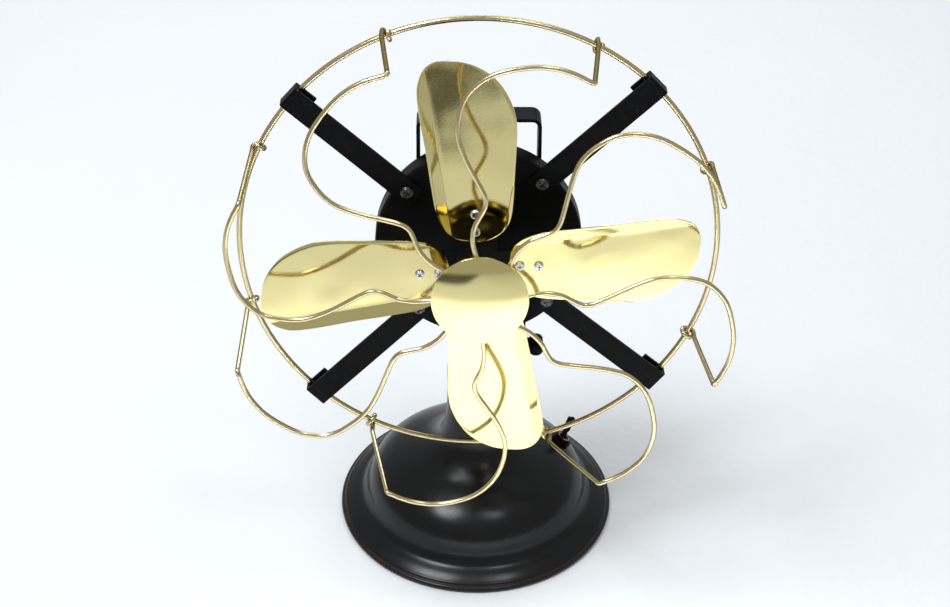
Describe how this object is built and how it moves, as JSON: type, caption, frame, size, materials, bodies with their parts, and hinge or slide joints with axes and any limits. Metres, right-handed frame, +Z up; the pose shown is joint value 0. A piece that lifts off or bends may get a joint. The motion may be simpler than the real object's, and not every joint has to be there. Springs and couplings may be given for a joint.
{
  "type": "desk fan",
  "caption": "Tilting desk fan with a bell base, drum motor with a strap handle, polished brass blades and a ring guard of S-shaped brass petal wires.",
  "frame": {"origin": "middle of the round base, on the table", "axes": "+Z up, the fan blows towards -Y, +X to the right as seen from the front"},
  "size_m": [0.3541, 0.2379, 0.4545],
  "materials": {
    "black_enamel": "satin black stoved enamel, worn on the edges",
    "polished_brass": "mirror-polished pale brass, lightly smeared and tarnished",
    "brass_wire": "brass-plated wire, bright with fine draw marks",
    "bronze": "turned bronze",
    "bright_screws": "bright plated steel",
    "dark_screws": "blackened steel",
    "shaft_steel": "ground steel",
    "laminations": "stacked steel laminations",
    "copper_wire": "varnished copper winding",
    "grey_plate": "zinc-grey pressed steel",
    "felt": "dark green felt",
    "grommet_rubber": "black rubber",
    "switch_phenolic": "brown phenolic",
    "coil_former": "varnished coil on a paper former"
  },
  "bodies": {
    "base": {"base_shell": "black_enamel", "base_plate": "grey_plate", "base_felt": "felt", "base_screws": "dark_screws", "cord_grommet": "grommet_rubber", "speed_coil": "coil_former", "speed_switch": "switch_phenolic", "switch_bush": "bronze", "switch_nut": "black_enamel", "neck_knuckle": "black_enamel", "neck_set_screw": "dark_screws", "tilt_bolt": "dark_screws"},
    "head": {"tilt_yoke": "black_enamel", "yoke_screws": "dark_screws", "motor_front_cover": "black_enamel", "motor_rear_housing": "black_enamel", "cover_screws": "dark_screws", "stator_core": "laminations", "stator_windings": "copper_wire", "front_bearing": "bronze", "rear_bearing": "bronze", "carry_handle": "black_enamel", "handle_screws": "dark_screws", "strut_1": "black_enamel", "strut_2": "black_enamel", "strut_3": "black_enamel", "strut_4": "black_enamel", "strut_screws": "black_enamel", "guard_ring": "brass_wire", "guard_wire_1": "brass_wire", "guard_wire_2": "brass_wire", "guard_wire_3": "brass_wire", "guard_wire_4": "brass_wire", "guard_wire_5": "brass_wire", "guard_wire_6": "brass_wire", "guard_wire_7": "brass_wire", "guard_wire_8": "brass_wire", "hub_badge": "polished_brass", "hub_back_plate": "brass_wire", "hub_nut": "brass_wire"},
    "rotor": {"motor_shaft": "shaft_steel", "rotor_core": "laminations", "blade_spider": "black_enamel", "spider_set_screw": "dark_screws", "blade_1": "polished_brass", "blade_2": "polished_brass", "blade_3": "polished_brass", "blade_4": "polished_brass", "blade_screws": "bright_screws", "blade_nuts": "bright_screws"},
    "speed_lever": {"speed_lever": "black_enamel"},
    "thumb_nut": {"thumb_nut": "black_enamel"}
  },
  "joints": [
    {"name": "head_tilt", "type": "hinge", "parent": "base", "child": "head", "pos_m": [0, 0, 0.158], "axis": [-1, 0, 0], "range_deg": [-18, 20]},
    {"name": "blade_spin", "type": "hinge", "parent": "head", "child": "rotor", "pos_m": [0, -0.027, 0.274], "axis": [0, -0.9914, 0.1305], "continuous": true},
    {"name": "lever_throw", "type": "hinge", "parent": "base", "child": "speed_lever", "pos_m": [0.06843, 0.01962, 0.04501], "axis": [-0.2756, 0.9613, 0], "range_deg": [0, 35]},
    {"name": "nut_turn", "type": "hinge", "parent": "base", "child": "thumb_nut", "pos_m": [0.0361, 0, 0.158], "axis": [1, 0, 0], "range_deg": [0, 180]}
  ]
}
